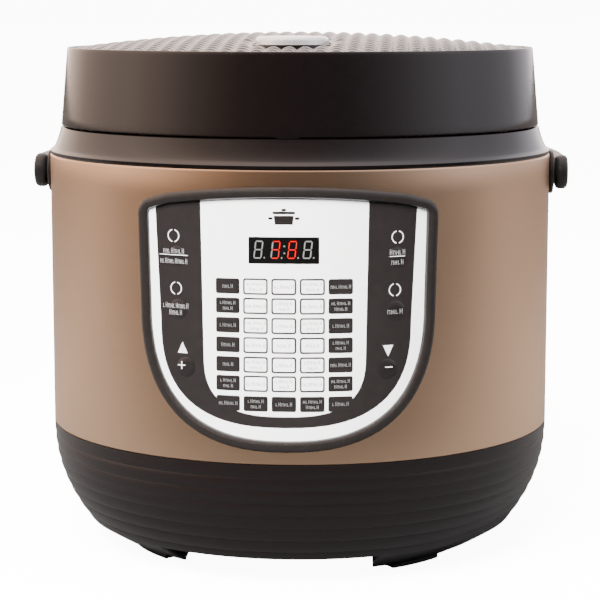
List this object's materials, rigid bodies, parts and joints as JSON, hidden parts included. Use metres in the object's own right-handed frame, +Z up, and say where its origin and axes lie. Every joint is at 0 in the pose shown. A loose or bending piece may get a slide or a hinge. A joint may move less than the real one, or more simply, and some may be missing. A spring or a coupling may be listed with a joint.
{
  "type": "electric pressure cooker",
  "caption": "Hinged-lid electric pressure cooker with a brushed steel body, a curved control panel, a push-button lid release and a swinging carrying handle.",
  "frame": {"origin": "middle of the bounding box on the surface that the feet stand on", "axes": "+Z up, -Y towards the front with the control panel, +X to the viewer's right"},
  "size_m": [0.312, 0.336, 0.298],
  "materials": {
    "dark_shell": "gloss",
    "satin_base": "satin",
    "brushed_band": "brushed",
    "bezel": "gloss",
    "film": "gloss",
    "key_face": "gloss",
    "window": "polished",
    "matte_black": "matte",
    "rubber": "matte",
    "seal": "satin",
    "red_seal": "satin",
    "steel": "satin",
    "aluminium": "satin",
    "chrome": "polished",
    "pot_coat": "satin",
    "board": "satin",
    "parts_dark": "satin",
    "ceramic": "matte",
    "wire": "satin",
    "clear": "satin",
    "inner_plastic": "satin"
  },
  "bodies": {
    "root": {"base_housing": "satin_base", "bottom_cover": "satin_base", "foot_pads": "rubber", "bottom_screws": "steel", "steel_band": "brushed_band", "top_collar": "dark_shell", "inner_liner": "aluminium", "heating_plate": "aluminium", "heating_element": "steel", "plate_supports": "ceramic", "sensor_spring": "steel", "inner_pot": "pot_coat", "power_board": "board", "power_components": "parts_dark", "thermal_fuse": "ceramic", "heater_wires": "wire", "mains_inlet": "matte_black", "inlet_pins": "steel", "control_bezel": "bezel", "panel_carrier": "inner_plastic", "panel_film": "film", "display_window": "window", "display_module": "matte_black", "control_board": "board", "tact_switches": "parts_dark", "hinge_pin": "steel", "hinge_spring": "steel", "striker": "steel", "handle_mounts": "matte_black", "handle_pins": "steel", "cup_holder": "satin_base"},
    "lid": {"lid_cover": "dark_shell", "lid_top_plate": "dark_shell", "button_ring": "chrome", "button_spring": "steel", "latch_pin": "steel", "lid_frame": "inner_plastic", "inner_lid": "aluminium", "lid_gasket": "seal", "inner_lid_knob": "matte_black", "valve_duct": "red_seal"},
    "release_button": {"release_button": "chrome"},
    "latch": {"latch_hook": "steel"},
    "steam_valve": {"valve_body": "dark_shell"},
    "float": {"valve_float": "red_seal"},
    "handle": {"carry_handle": "matte_black", "handle_caps": "matte_black"},
    "sensor": {"sensor_cap": "aluminium"},
    "cup": {"condensate_cup": "clear"},
    "key_warm": {"key_warm": "key_face"},
    "key_delay": {"key_delay": "key_face"},
    "key_plus": {"key_plus": "key_face"},
    "key_start": {"key_start": "key_face"},
    "key_menu": {"key_menu": "key_face"},
    "key_minus": {"key_minus": "key_face"}
  },
  "joints": [
    {"name": "lid_hinge", "type": "hinge", "parent": "root", "child": "lid", "pos_m": [0, 0.129, 0.2495], "axis": [-1, 0, 0], "range_deg": [0, 85]},
    {"name": "button_press", "type": "slide", "parent": "lid", "child": "release_button", "axis": [0, 0, -1], "range_m": [0, 0.004], "stiffness_N_per_m": 400, "springref_m": -0.008, "deforming": ["button_spring"]},
    {"name": "latch_turn", "type": "hinge", "parent": "lid", "child": "latch", "pos_m": [0, -0.1455, 0.2628], "axis": [-1, 0, 0], "range_deg": [0, 5.1]},
    {"name": "valve_lift", "type": "slide", "parent": "lid", "child": "steam_valve", "axis": [0, 0, 1], "range_m": [0, 0.03]},
    {"name": "float_lift", "type": "slide", "parent": "steam_valve", "child": "float", "axis": [0, 0, 1], "range_m": [0, 0.003]},
    {"name": "handle_swing", "type": "hinge", "parent": "root", "child": "handle", "pos_m": [0, -0.018, 0.2158], "axis": [1, 0, 0], "range_deg": [0, 90]},
    {"name": "sensor_press", "type": "slide", "parent": "root", "child": "sensor", "axis": [0, 0, -1], "range_m": [0, 0.0025], "stiffness_N_per_m": 300, "springref_m": -0.003, "deforming": ["sensor_spring"]},
    {"name": "cup_lift", "type": "slide", "parent": "root", "child": "cup", "axis": [0, 0, 1], "range_m": [0, 0.04]},
    {"name": "key_warm_press", "type": "slide", "parent": "root", "child": "key_warm", "axis": [0.3943, 0.919, 0], "range_m": [0, 0.0005], "stiffness_N_per_m": 300, "springref_m": -0.001},
    {"name": "key_delay_press", "type": "slide", "parent": "root", "child": "key_delay", "axis": [0.3887, 0.9214, 0], "range_m": [0, 0.0005], "stiffness_N_per_m": 300, "springref_m": -0.001},
    {"name": "key_plus_press", "type": "slide", "parent": "root", "child": "key_plus", "axis": [0.3609, 0.9326, 0], "range_m": [0, 0.0005], "stiffness_N_per_m": 300, "springref_m": -0.001},
    {"name": "key_start_press", "type": "slide", "parent": "root", "child": "key_start", "axis": [-0.3943, 0.919, 0], "range_m": [0, 0.0005], "stiffness_N_per_m": 300, "springref_m": -0.001},
    {"name": "key_menu_press", "type": "slide", "parent": "root", "child": "key_menu", "axis": [-0.3887, 0.9214, 0], "range_m": [0, 0.0005], "stiffness_N_per_m": 300, "springref_m": -0.001},
    {"name": "key_minus_press", "type": "slide", "parent": "root", "child": "key_minus", "axis": [-0.3609, 0.9326, 0], "range_m": [0, 0.0005], "stiffness_N_per_m": 300, "springref_m": -0.001}
  ],
  "couplings": [
    {"joint": "latch_turn", "follows": "button_press", "rad_per_m": 21.978}
  ]
}
